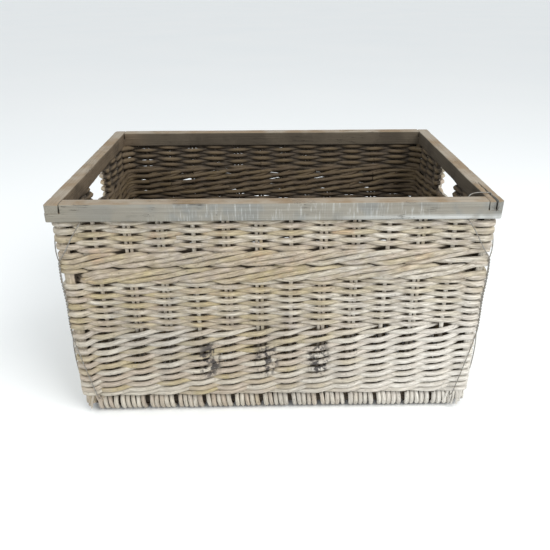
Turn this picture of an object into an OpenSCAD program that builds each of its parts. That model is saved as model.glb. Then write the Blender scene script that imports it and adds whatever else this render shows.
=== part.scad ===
// Rectangular willow log basket with a half-lapped timber rim.
// Origin on the floor under the middle, X to the right, Y to the back, Z up.

/* [Rim] */
// Length of the rim over the outside, left to right
rim_l = 800; // [780:1:900]
// Depth of the rim over the outside, front to back
rim_d = 556; // [540:1:640]
// Height of the rim's top above the floor
rim_z = 458; // [450:1:520]
// Width of a rim rail, seen from above
rail_w = 28; // [27:1:32]
// Height of a rim rail
rail_h = 34; // [28:1:38]
// Rounding along a rail's worn edges
rail_round = 3; // [1:0.5:5]
// Length of the open split in the right rail's front end
split_l = 108; // [60:1:140]
// Width of that split at the end grain
split_w = 3; // [2:0.5:4]

/* [Hand-holds] */
// Width of the hand-hold under each side rail
hold_w = 140; // [110:1:160]

/* [Stakes] */
// Spacing of the upright stakes along the front and back
stake_pitch = 58.5; // [54:0.5:60]
// Spacing of the side stakes outside the hand-hold
side_pitch = 60; // [50:1:62]
// Diameter of a stake that stands alone
stake_d = 10; // [8:0.5:11]
// Diameter of each rod where two stand side by side
twin_d = 8; // [6:0.5:8.5]
// Diameter of a corner post
post_d = 18; // [14:1:18]
// How deep the stakes and posts enter the rim
socket_h = 12; // [6:1:14]

/* [Woven bands] */
// Height at which the woven wall starts
foot_z = 45.5; // [45.5:0.5:50]
// Height where the thick foot band ends
lower_z = 54; // [52:1:70]
// Height where the slanted lower weave ends
middle_z = 196; // [150:1:240]
// Height where the plain middle weave ends
wale_z = 298; // [260:1:330]
// Height where the rope-like band ends and the top weave starts
upper_z = 362; // [350:1:380]
// Gap between the top weave and the rim
top_gap = 4; // [3:0.5:6]
// Thickness of the plain weave
weave_t = 24; // [22:0.5:24.5]
// Thickness of the foot band
foot_t = 25; // [23:0.5:25.5]
// Thickness of the rope-like band
wale_t = 26; // [24:0.5:26]

/* [Base] */
// Diameter of the thick stick along the front and back of the base
edge_stick_d = 23; // [18:1:24]
// Diameter of the base rods looped round that stick
edge_rod_d = 11.3; // [9:0.1:11.5]
// Diameter of the sticks inside the base
inner_stick_d = 14; // [10:1:16]
// Number of sticks inside the base
inner_sticks = 7; // [5:1:7]
// Thickness of the woven base
base_t = 28; // [22:1:30]

/* [Corner ties] */
// Diameter of the tie wire
wire_d = 1.8; // [1.2:0.1:2]
// Height where the two strands of a tie meet
tie_top_z = 342; // [310:1:360]
// Height where they part again
tie_low_z = 189; // [150:1:220]

/* [Hidden] */
$fn = 48;
willow = "tan";
timber = "lightslategray";
metal = "dimgray";

under_z = rim_z - rail_h;               // underside of the rim
lap_z = rim_z - rail_h / 2;             // level of the half-lap joint
wall_in = 15;                           // wall's middle line, in from the rim's outside
line_x = rim_l / 2 - wall_in;           // half length of that line
line_y = rim_d / 2 - wall_in;           // half depth of that line
corner_r = 26;                          // outer rounding of the woven corners
inner_r = 8;                            // inner rounding of the woven corners
post_x = line_x - 6;
post_y = line_y - 6;
tenon_d = 12;                           // reduced top of a corner post
twin_gap = 0.6;                         // gap between two rods of a pair
jamb_d = 11;                            // stake at each side of a hand-hold
jamb_y = hold_w / 2 + 8;
short_y = hold_w * 0.21;                // stakes that stop under the hand-hold

edge_r = edge_stick_d / 2 + edge_rod_d; // outer radius of the looped base edge
edge_z = edge_r - 0.3;                  // its centre, so that its foot is worn flat
edge_y = line_y - 15;
edge_x = line_x - 19;                   // where the looped edge meets the base end
end_out = rim_l / 2 - 4;                // outer face of a base end
end_low = 8;
end_round = 6;
stick_x = end_out - 4;                  // ends of the long base sticks
inner_x = line_x - 7;                   // ends of the inner base sticks
stake_foot = 6;
side_foot = 14;

// Number of rods at each front and back stake, from left to right
front_rods = [1, 2, 2, 1, 2, 2, 1, 2, 2, 1, 2, 1];
front_x = [for (i = [0 : len(front_rods) - 1])
    (i - (len(front_rods) - 1) / 2) * stake_pitch];
side_y = [jamb_y + side_pitch, jamb_y + 2 * side_pitch];
side_rods = [2, 1];

nail_d = 3;
nail_head_d = 7;
nail_head_h = 1.5;
nail_l = 28;
nail_x = rim_l / 2 - 12;
nail_y = rim_d / 2 - 10;

wire_out = 1.1;                         // wire's middle, out from the rope-like band
face_x = line_x + wale_t / 2 + wire_out;
face_y = line_y + wale_t / 2 + wire_out;
arc_x = line_x + wale_t / 2 - corner_r; // centre of the woven corner's rounding
arc_y = line_y + wale_t / 2 - corner_r;
arc_r = corner_r + wire_out;
gap_z = under_z - top_gap / 2;
strand_reach = 30;                      // how far a strand starts from the corner's rounding
strand_low = 12;                        // and how far from it the strand ends at the base
strand_in = 14;                         // length that enters the base
base_in_z = 33;                         // height where it enters
wire_sides = 8;
outward = [1, -1, 0] / norm([1, 1]);    // away from the basket at the front right corner

// ---------- shared shapes ----------

module round_rect(half_x, half_y, r) {
    square([2 * half_x, 2 * (half_y - r)], center = true);
    square([2 * (half_x - r), 2 * half_y], center = true);
    for (sx = [-1, 1], sy = [-1, 1])
        translate([sx * (half_x - r), sy * (half_y - r)]) circle(r);
}

module wall_ring(t) {
    difference() {
        round_rect(line_x + t / 2, line_y + t / 2, corner_r);
        round_rect(line_x - t / 2, line_y - t / 2, inner_r);
    }
}

// One stake, or a pair side by side along the wall, in plan
module rods(count, turn) {
    if (count == 1) circle(d = stake_d);
    else rotate(turn) for (s = [-1, 1])
        translate([s * (twin_d + twin_gap) / 2, 0]) circle(d = twin_d);
}

module front_plan(side) {
    for (i = [0 : len(front_x) - 1])
        translate([front_x[i], side * line_y]) rods(front_rods[i], 0);
}

module side_plan(side) {
    for (s = [-1, 1], i = [0 : len(side_y) - 1])
        translate([side * line_x, s * side_y[i]]) rods(side_rods[i], 90);
}

module jamb_plan(side) {
    for (s = [-1, 1]) translate([side * line_x, s * jamb_y]) circle(d = jamb_d);
}

module short_plan(side) {
    for (s = [-1, 1]) translate([side * line_x, s * short_y]) circle(d = stake_d);
}

module post_plan() {
    for (sx = [-1, 1], sy = [-1, 1])
        translate([sx * post_x, sy * post_y]) circle(d = post_d);
}

module all_plan() {
    post_plan();
    for (side = [-1, 1]) {
        front_plan(side);
        side_plan(side);
        jamb_plan(side);
        short_plan(side);
    }
}

module band(z0, z1, t) {
    color(willow) translate([0, 0, z0]) linear_extrude(z1 - z0)
        difference() {
            wall_ring(t);
            all_plan();
        }
}

// ---------- rim ----------

module rail_profile() {
    translate([0, -rail_h / 2]) round_rect(rail_w / 2, rail_h / 2, rail_round);
}

module long_rail(side) {
    color(timber) difference() {
        translate([-rim_l / 2, side * (rim_d - rail_w) / 2, rim_z])
            rotate([90, 0, 90]) linear_extrude(rim_l) rail_profile();
        for (s = [-1, 1])
            translate([s * rim_l / 2, side * rim_d / 2, rim_z])
                cube([2 * rail_w, 2 * rail_w, rail_h], center = true);
        translate([0, 0, under_z - 1]) linear_extrude(socket_h + 1) {
            front_plan(side);
            for (s = [-1, 1])
                translate([s * post_x, side * post_y]) circle(d = tenon_d);
        }
        nail_set();
        tie_holes(side);
    }
}

module side_rail(side) {
    color(timber) difference() {
        translate([side * (rim_l - rail_w) / 2, rim_d / 2, rim_z])
            rotate([90, 0, 0]) linear_extrude(rim_d) rail_profile();
        for (s = [-1, 1])
            translate([side * rim_l / 2, s * rim_d / 2, under_z])
                cube([2 * rail_w, 2 * rail_w, rail_h], center = true);
        translate([0, 0, under_z - 1]) linear_extrude(socket_h + 1) {
            side_plan(side);
            jamb_plan(side);
        }
        nail_set();
        side_tie_holes(side);
        if (side > 0) split();
    }
}

module split() {
    mid = rim_l / 2 - rail_w / 2;
    front = -rim_d / 2;
    translate([0, 0, lap_z - 1]) linear_extrude(rail_h)
        polygon([[mid - split_w / 2, front - 1], [mid + split_w / 2, front - 1],
            [mid, front + split_l]]);
}

module nail_set() {
    for (sx = [-1, 1], sy = [-1, 1])
        translate([sx * nail_x, sy * nail_y, under_z]) {
            cylinder(d = nail_head_d, h = nail_head_h);
            cylinder(d = nail_d, h = nail_l);
        }
}

module rim_nails() {
    color(metal) nail_set();
}

// ---------- posts and stakes ----------

module corner_post(sx, sy) {
    color(willow) difference() {
        translate([sx * post_x, sy * post_y, 0]) {
            translate([0, 0, edge_z])
                cylinder(d = post_d, h = under_z - edge_z);
            translate([0, 0, under_z - 1])
                cylinder(d = tenon_d, h = socket_h + 1);
        }
        edge_stick(sy);
    }
}

module stakes_long(side) {
    color(willow) translate([0, 0, stake_foot])
        linear_extrude(under_z + socket_h - stake_foot) front_plan(side);
}

module stakes_side(side) {
    color(willow) translate([0, 0, side_foot])
        linear_extrude(under_z + socket_h - side_foot) side_plan(side);
}

module handhold_stakes(side) {
    color(willow) translate([0, 0, side_foot]) {
        linear_extrude(under_z + socket_h - side_foot) jamb_plan(side);
        linear_extrude(upper_z - side_foot) short_plan(side);
    }
}

// ---------- woven wall ----------

module upper_weave(side) {
    color(willow) translate([0, 0, upper_z])
        linear_extrude(under_z - top_gap - upper_z) difference() {
            wall_ring(weave_t);
            translate([0, side * (hold_w / 2 - rim_d)])
                square([2 * rim_l, 2 * rim_d], center = true);
            all_plan();
        }
}

// ---------- base ----------

module edge_stick(side) {
    translate([-stick_x, side * edge_y, edge_z]) rotate([0, 90, 0])
        cylinder(d = edge_stick_d, h = 2 * stick_x);
}

module base_stick(side) {
    color(willow) edge_stick(side);
}

module base_edge(side) {
    color(willow) difference() {
        translate([-edge_x, side * edge_y, edge_z]) rotate([0, 90, 0])
            cylinder(r = edge_r, h = 2 * edge_x, $fn = 64);
        translate([0, 0, -edge_r])
            cube([2 * rim_l, 2 * rim_d, 2 * edge_r], center = true);
        edge_stick(side);
        translate([0, 0, stake_foot]) linear_extrude(2 * edge_r) front_plan(side);
        base_tie_holes(side);
    }
}

module inner_stick_set() {
    span = 2 * (edge_y - edge_r) - 2 * inner_stick_d;
    for (i = [0 : inner_sticks - 1])
        translate([-inner_x, (i / (inner_sticks - 1) - 0.5) * span, edge_z])
            rotate([0, 90, 0]) cylinder(d = inner_stick_d, h = 2 * inner_x);
}

module base_inner_sticks() {
    color(willow) inner_stick_set();
}

module base_weave() {
    color(willow) difference() {
        translate([0, 0, edge_z])
            cube([2 * edge_x, 2 * (edge_y - edge_r), base_t], center = true);
        inner_stick_set();
    }
}

module base_end(side) {
    mid = (edge_x + end_out) / 2;
    color(willow) difference() {
        translate([side * mid, edge_y + edge_r, (end_low + foot_z) / 2])
            rotate([90, 0, 0]) linear_extrude(2 * (edge_y + edge_r))
                round_rect((end_out - edge_x) / 2, (foot_z - end_low) / 2, end_round);
        edge_stick(1);
        edge_stick(-1);
        inner_stick_set();
        translate([0, 0, side_foot]) linear_extrude(foot_z) {
            side_plan(side);
            jamb_plan(side);
            short_plan(side);
        }
        translate([0, 0, edge_z]) linear_extrude(foot_z) post_plan();
        base_side_tie_holes(side);
    }
}

// ---------- corner ties ----------

// A wire along a list of points, as rings of wire_sides corners, one at each point
function unit(v) = v / norm(v);
function heading(points, i) =
    unit((i > 0 ? unit(points[i] - points[i - 1]) : [0, 0, 0])
        + (i < len(points) - 1 ? unit(points[i + 1] - points[i]) : [0, 0, 0]));
function wire_ring(centre, along, r) =
    let (u = unit(cross(along, outward)), v = cross(along, u))
    [for (j = [0 : wire_sides - 1])
        centre + r * (cos(j * 360 / wire_sides) * u + sin(j * 360 / wire_sides) * v)];

module wire_run(points, d) {
    rings = [for (i = [0 : len(points) - 1])
        each wire_ring(points[i], heading(points, i), d / 2)];
    last = len(rings) - 1;
    polyhedron(rings, concat(
        [[for (j = [0 : wire_sides - 1]) j]],
        [[for (j = [0 : wire_sides - 1]) last - j]],
        [for (i = [0 : len(points) - 2], j = [0 : wire_sides - 1])
            let (a = i * wire_sides, k = (j + 1) % wire_sides)
            [a + k, a + j, a + j + wire_sides, a + k + wire_sides]]));
}

// A round hole for a wire, from one point to another
module wire_hole(from, to) {
    step = to - from;
    translate(from)
        rotate([0, atan2(norm([step[0], step[1]]), step[2]), atan2(step[1], step[0])])
            cylinder(d = wire_d, h = norm(step), $fn = 16);
}

function on_arc(a, z) = [arc_x + arc_r * sin(a), -arc_y - arc_r * cos(a), z];

// Level at a given run along the corner, between two levels
function level(z0, z1, part) = z0 + (z1 - z0) * part;

arc_len = arc_r * 45 * PI / 180;
top_share = strand_reach / (strand_reach + arc_len);
low_share = strand_low / (strand_low + arc_len);
under_rail_y = line_y - 2;              // where a strand turns up into the rim
under_rail_x = line_x - 2;

front_strand = [
    [arc_x - strand_reach, -face_y, gap_z],
    [arc_x, -face_y, level(gap_z, tie_top_z, top_share)],
    on_arc(22.5, level(gap_z, tie_top_z, (1 + top_share) / 2)),
    on_arc(45, tie_top_z)];
side_strand = [
    [face_x, -arc_y + strand_reach, gap_z],
    [face_x, -arc_y, level(gap_z, tie_top_z, top_share)],
    on_arc(67.5, level(gap_z, tie_top_z, (1 + top_share) / 2)),
    on_arc(45, tie_top_z)];
front_foot = [
    on_arc(45, tie_low_z),
    on_arc(22.5, level(foot_z, tie_low_z, (1 + low_share) / 2)),
    [arc_x, -face_y, level(foot_z, tie_low_z, low_share)],
    [arc_x - strand_low, -face_y, foot_z],
    [arc_x - strand_low, -face_y + strand_in, base_in_z]];
side_foot_run = [
    on_arc(45, tie_low_z),
    on_arc(67.5, level(foot_z, tie_low_z, (1 + low_share) / 2)),
    [face_x, -arc_y, level(foot_z, tie_low_z, low_share)],
    [face_x, -arc_y + strand_low, foot_z],
    [face_x - strand_in, -arc_y + strand_low, base_in_z]];

// Plain upper ends, which turn up into the rim
front_end = [
    [arc_x - strand_reach, -under_rail_y, under_z + socket_h],
    [arc_x - strand_reach, -under_rail_y, gap_z],
    [arc_x - strand_reach, -face_y, gap_z]];
side_end = [
    [under_rail_x, -arc_y + strand_reach, under_z + socket_h],
    [under_rail_x, -arc_y + strand_reach, gap_z],
    [face_x, -arc_y + strand_reach, gap_z]];

// Upper end that goes under the front rail, up inside it and over the joint
inside_y = rim_d / 2 - rail_w - wire_out;
split_x = rim_l / 2 - rail_w / 2;
over_end = [
    [split_x, -rim_d / 2 + 32, lap_z + 3],
    [split_x, -rim_d / 2 + 32, rim_z + 1],
    [split_x - 4, -rim_d / 2 + 41, rim_z + 1.5],
    [arc_x - strand_reach + 4, -inside_y, rim_z + 1],
    [arc_x - strand_reach, -inside_y, gap_z],
    [arc_x - strand_reach, -face_y, gap_z]];

module tie_shape(over) {
    wire_run(concat(over ? over_end : front_end, [for (i = [1 : 3]) front_strand[i]]), wire_d);
    wire_run(concat(side_end, [for (i = [1 : 3]) side_strand[i]]), wire_d);
    wire_run([on_arc(45, tie_top_z), on_arc(45, tie_low_z)], 2 * wire_d);
    wire_run(front_foot, wire_d);
    wire_run(side_foot_run, wire_d);
}

module corner_tie(sx, sy, over) {
    color(metal) scale([sx, -sy, 1]) tie_shape(over);
}

module tie_holes(side) {
    for (s = [-1, 1])
        translate([s * (arc_x - strand_reach), side * under_rail_y, under_z - 1])
            cylinder(d = wire_d, h = socket_h + 1, $fn = 16);
}

module side_tie_holes(side) {
    for (s = [-1, 1])
        translate([side * under_rail_x, s * (arc_y - strand_reach), under_z - 1])
            cylinder(d = wire_d, h = socket_h + 1, $fn = 16);
}

module base_tie_holes(side) {
    for (s = [-1, 1]) scale([s, -side, 1])
        wire_hole(front_foot[4], front_foot[3]);
}

module base_side_tie_holes(side) {
    for (s = [-1, 1]) scale([side, s, 1])
        wire_hole(side_foot_run[4], side_foot_run[3]);
}

// ---------- nodes ----------

long_rail(-1);  // rim_rail_front
long_rail(1);  // rim_rail_back
side_rail(-1);  // rim_rail_left
side_rail(1);  // rim_rail_right
rim_nails();
corner_post(-1, -1);  // corner_post_front_left
corner_post(1, -1);  // corner_post_front_right
corner_post(-1, 1);  // corner_post_back_left
corner_post(1, 1);  // corner_post_back_right
stakes_long(-1);  // stakes_front
stakes_long(1);  // stakes_back
stakes_side(-1);  // stakes_left
stakes_side(1);  // stakes_right
handhold_stakes(-1);  // handhold_stakes_left
handhold_stakes(1);  // handhold_stakes_right
band(foot_z, lower_z, foot_t);  // foot_band
band(lower_z, middle_z, weave_t);  // lower_weave
band(middle_z, wale_z, weave_t);  // middle_weave
band(wale_z, upper_z, wale_t);  // wale_band
upper_weave(-1);  // upper_weave_front
upper_weave(1);  // upper_weave_back
base_stick(-1);  // base_stick_front
base_stick(1);  // base_stick_back
base_inner_sticks();
base_edge(-1);  // base_edge_front
base_edge(1);  // base_edge_back
base_end(-1);  // base_end_left
base_end(1);  // base_end_right
base_weave();
corner_tie(-1, -1, false);  // corner_tie_front_left
corner_tie(1, -1, true);  // corner_tie_front_right
corner_tie(-1, 1, false);  // corner_tie_back_left
corner_tie(1, 1, false);  // corner_tie_back_right
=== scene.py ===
import math
import random

import bmesh
import bpy
from mathutils import Matrix, Vector, noise


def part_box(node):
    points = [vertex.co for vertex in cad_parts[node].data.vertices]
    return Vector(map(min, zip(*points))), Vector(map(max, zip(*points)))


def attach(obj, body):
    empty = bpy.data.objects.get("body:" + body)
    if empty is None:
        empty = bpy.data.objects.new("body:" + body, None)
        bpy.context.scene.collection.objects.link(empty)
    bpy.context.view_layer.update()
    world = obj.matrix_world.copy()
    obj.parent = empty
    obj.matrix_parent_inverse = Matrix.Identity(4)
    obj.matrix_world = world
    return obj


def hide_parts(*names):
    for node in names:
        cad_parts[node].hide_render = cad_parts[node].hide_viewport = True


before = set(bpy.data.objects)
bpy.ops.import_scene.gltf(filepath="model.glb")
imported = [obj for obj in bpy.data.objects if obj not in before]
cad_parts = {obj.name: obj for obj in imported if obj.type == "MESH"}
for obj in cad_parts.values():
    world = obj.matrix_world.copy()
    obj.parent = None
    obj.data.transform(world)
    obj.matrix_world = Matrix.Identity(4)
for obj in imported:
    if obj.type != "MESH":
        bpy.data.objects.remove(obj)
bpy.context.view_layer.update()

mm = 0.001
print("frame loaded")


# Layout of the wall, read from the frame

def middle(node):
    low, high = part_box(node)
    return (low + high) / 2


def bandHeights(node):
    low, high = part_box(node)
    return low.z, high.z


railLow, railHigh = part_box("rim_rail_front")
rimTop = railHigh.z
rimUnder = railLow.z
railWide = railHigh.y - railLow.y
rimX = railHigh.x
rimY = -railLow.y
lineX = middle("stakes_right").x
lineY = -middle("stakes_front").y
postX = middle("corner_post_front_right").x
postY = -middle("corner_post_front_right").y

layout = {
    "frontRods": [1, 2, 2, 1, 2, 2, 1, 2, 2, 1, 2, 1],
    "singleRadius": 4.3 * mm,
    "twinRadius": 3.5 * mm,
    "twinGap": 1.4 * mm,
    "jambRadius": 5.5 * mm,
    "postRadius": 9 * mm,
    "postFront": 10.4 * mm,     # how far a rod stands off the wall's middle line in front of a post
    "postBeside": 6.0 * mm,
    "postBehind": 14.6 * mm,
    "shortSide": 29.4 * mm,     # stakes that stop under the hand-holds
    "turnRadius": 15 * mm,      # corner rounding of the wall's middle line
    "lift": 3 * mm,             # how far the bands rise above the frame's band heights
    "skew": 3 * mm,             # how far they climb from left to right
    "bulge": 5 * mm,            # how far the lower left of the front leans out
}

frontCount = len(layout["frontRods"])
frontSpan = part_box("stakes_front")[1].x - layout["singleRadius"]
frontX = [frontSpan * (2 * i / (frontCount - 1) - 1) for i in range(frontCount)]
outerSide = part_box("stakes_right")[1].y - layout["singleRadius"]
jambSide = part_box("handhold_stakes_right")[1].y - layout["jambRadius"]
innerSide = (outerSide + jambSide) / 2

runX = lineX - layout["turnRadius"]
runY = lineY - layout["turnRadius"]
turnLength = layout["turnRadius"] * math.pi / 2
sideStart = 2 * runX + turnLength
backStart = sideStart + 2 * runY + turnLength
leftStart = backStart + 2 * runX + turnLength
roundLength = leftStart + 2 * runY + turnLength

footLow, footHigh = bandHeights("foot_band")
lowerLow, lowerHigh = bandHeights("lower_weave")
middleLow, middleHigh = bandHeights("middle_weave")
waleLow, waleHigh = bandHeights("wale_band")
upperLow, upperHigh = bandHeights("upper_weave_front")


def skewed(point):
    # the bands climb a little to the right, and not at the foot or the rim
    low, high = footHigh, upperHigh
    part = min(max((point.z - low) / (high - low), 0), 1)
    lift = (layout["lift"] + layout["skew"] * point.x / rimX) * math.sin(math.pi * part) ** 0.7
    return Vector((point.x, point.y - leanOut(point), point.z + lift))


def leanOut(point):
    # how far a point of the front wall leans out, most at the lower left
    if point.y > -rimY / 2:
        return 0.0
    low = min(max(1 - point.z / waleLow, 0), 1)
    left = min(max(-point.x / rimX, 0), 1)
    return layout["bulge"] * low * left


def wallPoint(s, out, z):
    r = layout["turnRadius"]
    s = s % roundLength
    for start, length, corner, along, outward in (
        (0.0, 2 * runX, (-runX, -lineY), (1, 0), (0, -1)),
        (sideStart, 2 * runY, (lineX, -runY), (0, 1), (1, 0)),
        (backStart, 2 * runX, (runX, lineY), (-1, 0), (0, 1)),
        (leftStart, 2 * runY, (-lineX, runY), (0, -1), (-1, 0)),
    ):
        t = s - start
        if t < 0 or t > length + turnLength:
            continue
        a = max(t - length, 0) / r
        run = min(t, length)
        dx = outward[0] * math.cos(a) + along[0] * math.sin(a)
        dy = outward[1] * math.cos(a) + along[1] * math.sin(a)
        hubX = corner[0] + along[0] * run - outward[0] * r
        hubY = corner[1] + along[1] * run - outward[1] * r
        return Vector((hubX + dx * (r + out), hubY + dy * (r + out), z))
    return wallPoint(0, out, z)


def stakeGroups():
    # every stake, pair or post round the wall, starting at the front left
    radii = {
        "single": layout["singleRadius"], "short": layout["singleRadius"], "twin": layout["twinRadius"],
        "jamb": layout["jambRadius"], "post": layout["postRadius"],
    }
    kinds = ["single" if rods == 1 else "twin" for rods in layout["frontRods"]]
    half = [(outerSide, "single"), (innerSide, "twin"), (jambSide, "jamb"), (layout["shortSide"], "short")]
    sideSpots = [(-spot, kind) for spot, kind in half] + half[::-1]
    groups = []
    for start, run, spots in (
        (0, runX, zip(frontX, kinds)), (sideStart, runY, sideSpots),
        (backStart, runX, zip(frontX, kinds[::-1])), (leftStart, runY, sideSpots),
    ):
        spots = [(start + run + spot, kind) for spot, kind in spots]
        spots.append((start + 2 * run + turnLength / 2, "post"))
        groups += [{"s": s, "kind": kind, "radius": radii[kind]} for s, kind in spots]
    return groups


ring = stakeGroups()
ringCount = len(ring)


def groupAt(index):
    turns, i = divmod(index, ringCount)
    group = dict(ring[i])
    group["s"] += turns * roundLength
    return group


# Rods as smooth lines

def smoothLine(points, stepLength):
    # Catmull-Rom through the points, with even steps on each stretch
    pts = [points[0] * 2 - points[1]] + list(points) + [points[-1] * 2 - points[-2]]
    out = []
    for i in range(1, len(pts) - 2):
        a, b, c, d = pts[i - 1], pts[i], pts[i + 1], pts[i + 2]
        steps = max(2, round((c - b).length / stepLength))
        for k in range(steps):
            t = k / steps
            out.append(0.5 * (2 * b + (c - a) * t + (2 * a - 5 * b + 4 * c - d) * t * t
                              + (3 * b - a - 3 * c + d) * t ** 3))
    out.append(pts[-2].copy())
    return out


def makeRod(points, radius, endRadius=None, tone=0.5, stepLength=9 * mm):
    line = smoothLine(points, stepLength)
    endRadius = radius if endRadius is None else endRadius
    radii = [radius + (endRadius - radius) * i / (len(line) - 1) for i in range(len(line))]
    return {"line": line, "radii": radii, "tone": tone}


def weavePoints(groups, sides, heights, sway, rng, wander=0.5 * mm, cross=0.0, shift=0.0):
    # control points of one rod that passes the groups, in front where side is 1 and behind where it is -1
    points = []
    half = turnLength / 2
    onward = 1 if groups[-1]["s"] > groups[0]["s"] else -1
    for i, (group, side, z) in enumerate(zip(groups, sides, heights)):
        if group["kind"] == "post":
            if side > 0:
                beside, front = layout["postBeside"], layout["postFront"]
                for ds, out in ((-half - 3 * mm, beside), (0, front), (half + 3 * mm, beside)):
                    points.append(wallPoint(group["s"] + ds * onward, out, z))
            else:
                points.append(wallPoint(group["s"], -layout["postBehind"], z))
        else:
            out = side * sway * rng.uniform(0.92, 1.06) + shift
            s = group["s"] + rng.uniform(-1, 1) * mm
            points.append(wallPoint(s, out, z + rng.uniform(-1, 1) * wander))
        if i + 1 < len(groups):
            nextSide, nextZ = sides[i + 1], heights[i + 1]
            s = (group["s"] + groups[i + 1]["s"]) / 2
            if nextSide != side:
                out = rng.uniform(-1, 1) * mm + shift
                points.append(wallPoint(s, out, (z + nextZ) / 2 + cross * nextSide))
            elif group["kind"] != "post" and groups[i + 1]["kind"] != "post":
                out = side * sway * 0.92 + shift
                points.append(wallPoint(s, out, (z + nextZ) / 2))
    return [skewed(p) for p in points]


# Short calls for making and joining nodes

class Wiring:
    # one node tree, of geometry or of shading

    def __init__(self, tree):
        self.tree = tree

    def put(self, socket, value):
        if isinstance(value, bpy.types.NodeSocket):
            self.tree.links.new(value, socket)
        elif value is not None:
            socket.default_value = value

    def add(self, kind, inputs=None, **settings):
        node = self.tree.nodes.new(kind)
        for name, value in settings.items():
            setattr(node, name, value)
        for socket, value in (inputs or {}).items():
            self.put(node.inputs[socket], value)
        return node

    def math(self, kind, a, b=None):
        return self.add("ShaderNodeMath", {0: a, 1: b}, operation=kind).outputs[0]

    def times(self, a, b):
        return self.math("MULTIPLY", a, b)

    def less(self, a, b):
        return self.math("SUBTRACT", a, b)

    def mix(self, factor, a, b):
        return self.add("ShaderNodeMix", {"Factor": factor, 6: a, 7: b}, data_type="RGBA").outputs[2]

    def noise(self, vector, scale, detail=3.0, roughness=0.6, distortion=0.0):
        return self.add("ShaderNodeTexNoise", {
            "Vector": vector, "Scale": scale, "Detail": detail,
            "Roughness": roughness, "Distortion": distortion}).outputs["Fac"]

    def ramp(self, value, low, high, outLow=0.0, outHigh=1.0):
        return self.add("ShaderNodeMapRange", {
            "Value": value, "From Min": low, "From Max": high, "To Min": outLow, "To Max": outHigh},
            interpolation_type="SMOOTHSTEP").outputs["Result"]

    def mapping(self, vector, scale, location=(0, 0, 0)):
        inputs = {"Vector": vector, "Scale": scale, "Location": location}
        return self.add("ShaderNodeMapping", inputs).outputs["Vector"]

    def split(self, vector):
        return self.add("ShaderNodeSeparateXYZ", {0: vector}).outputs

    def join(self, x, y, z):
        return self.add("ShaderNodeCombineXYZ", {"X": x, "Y": y, "Z": z}).outputs["Vector"]

    def group(self, tree, inputs):
        return self.add("ShaderNodeGroup", inputs, node_tree=tree).outputs

    def place(self):
        return self.add("ShaderNodeTexCoord").outputs["Object"]

    def attribute(self, name, output="Fac"):
        return self.add("ShaderNodeAttribute", attribute_name=name).outputs[output]

    def bump(self, height, strength, distance):
        inputs = {"Strength": strength, "Distance": distance, "Height": height}
        return self.add("ShaderNodeBump", inputs).outputs["Normal"]


# Geometry Nodes: a tube along every edge line, with its own marks

def buildRodTree():
    tree = bpy.data.node_groups.new("sweepRods", "GeometryNodeTree")
    ids = {}
    for key, name, kind, value in (
        ("geometry", "Rod Lines", "Geometry", None),
        ("sides", "Rod Sides", "Int", 10),
        ("ripple", "Bark Ripple", "Float", 0.5 * mm),
        ("rippleSize", "Ripple Size", "Float", 60.0),
        ("seed", "Seed", "Float", 1.0),
        ("material", "Rod Material", "Material", None),
    ):
        socket = tree.interface.new_socket(name, in_out="INPUT", socket_type="NodeSocket" + kind)
        if value is not None:
            socket.default_value = value
        ids[key] = socket.identifier
    tree.interface.new_socket("Geometry", in_out="OUTPUT", socket_type="NodeSocketGeometry")
    w = Wiring(tree)
    source = w.add("NodeGroupInput").outputs

    def read(name):
        node = w.add("GeometryNodeInputNamedAttribute", {"Name": name}, data_type="FLOAT")
        return node.outputs["Attribute"]

    def store(geometry, name, value, kind):
        inputs = {"Geometry": geometry, "Name": name, "Value": value}
        return w.add("GeometryNodeStoreNamedAttribute", inputs, data_type=kind).outputs["Geometry"]

    curves = w.add("GeometryNodeMeshToCurve", {"Mesh": source["Rod Lines"]}).outputs["Curve"]
    circle = w.add("GeometryNodeCurvePrimitiveCircle", {"Radius": 1.0, "Resolution": source["Rod Sides"]})
    around = w.add("GeometryNodeSplineParameter").outputs["Factor"]
    tube = w.add("GeometryNodeCurveToMesh", {
        "Curve": curves, "Profile Curve": store(circle.outputs["Curve"], "around", around, "FLOAT"),
        "Scale": read("rodRadius"), "Fill Caps": True})

    angle = w.times(read("around"), 2 * math.pi)
    space = w.join(
        w.times(w.math("COSINE", angle), read("rodRadius")),
        w.times(w.math("SINE", angle), read("rodRadius")), read("rodAlong"))
    marked = store(tube.outputs["Mesh"], "rodSpace", space, "FLOAT_VECTOR")

    ripple = w.add("ShaderNodeTexNoise", {
        "Detail": 1.0, "Scale": source["Ripple Size"], "W": source["Seed"]}, noise_dimensions="4D")
    height = w.times(w.less(ripple.outputs["Fac"], 0.5), source["Bark Ripple"])
    normal = w.add("GeometryNodeInputNormal").outputs["Normal"]
    push = w.add("ShaderNodeVectorMath", {0: normal, "Scale": height}, operation="SCALE").outputs["Vector"]
    geometry = w.add("GeometryNodeSetPosition", {"Geometry": marked, "Offset": push}).outputs[0]
    for kind in ("GeometryNodeSetShadeSmooth", "GeometryNodeRealizeInstances"):
        geometry = w.add(kind, {"Geometry": geometry}).outputs[0]
    paint = w.add("GeometryNodeSetMaterial", {"Geometry": geometry, "Material": source["Rod Material"]})
    w.add("NodeGroupOutput", {"Geometry": paint.outputs["Geometry"]})
    return tree, ids


rodTree, rodIds = buildRodTree()
rodSeed = 0


def link(name, data):
    thing = bpy.data.objects.new(name, data)
    bpy.context.collection.objects.link(thing)
    return thing


def finishPiece(piece, nodes):
    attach(piece, "root")
    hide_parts(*nodes)


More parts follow.
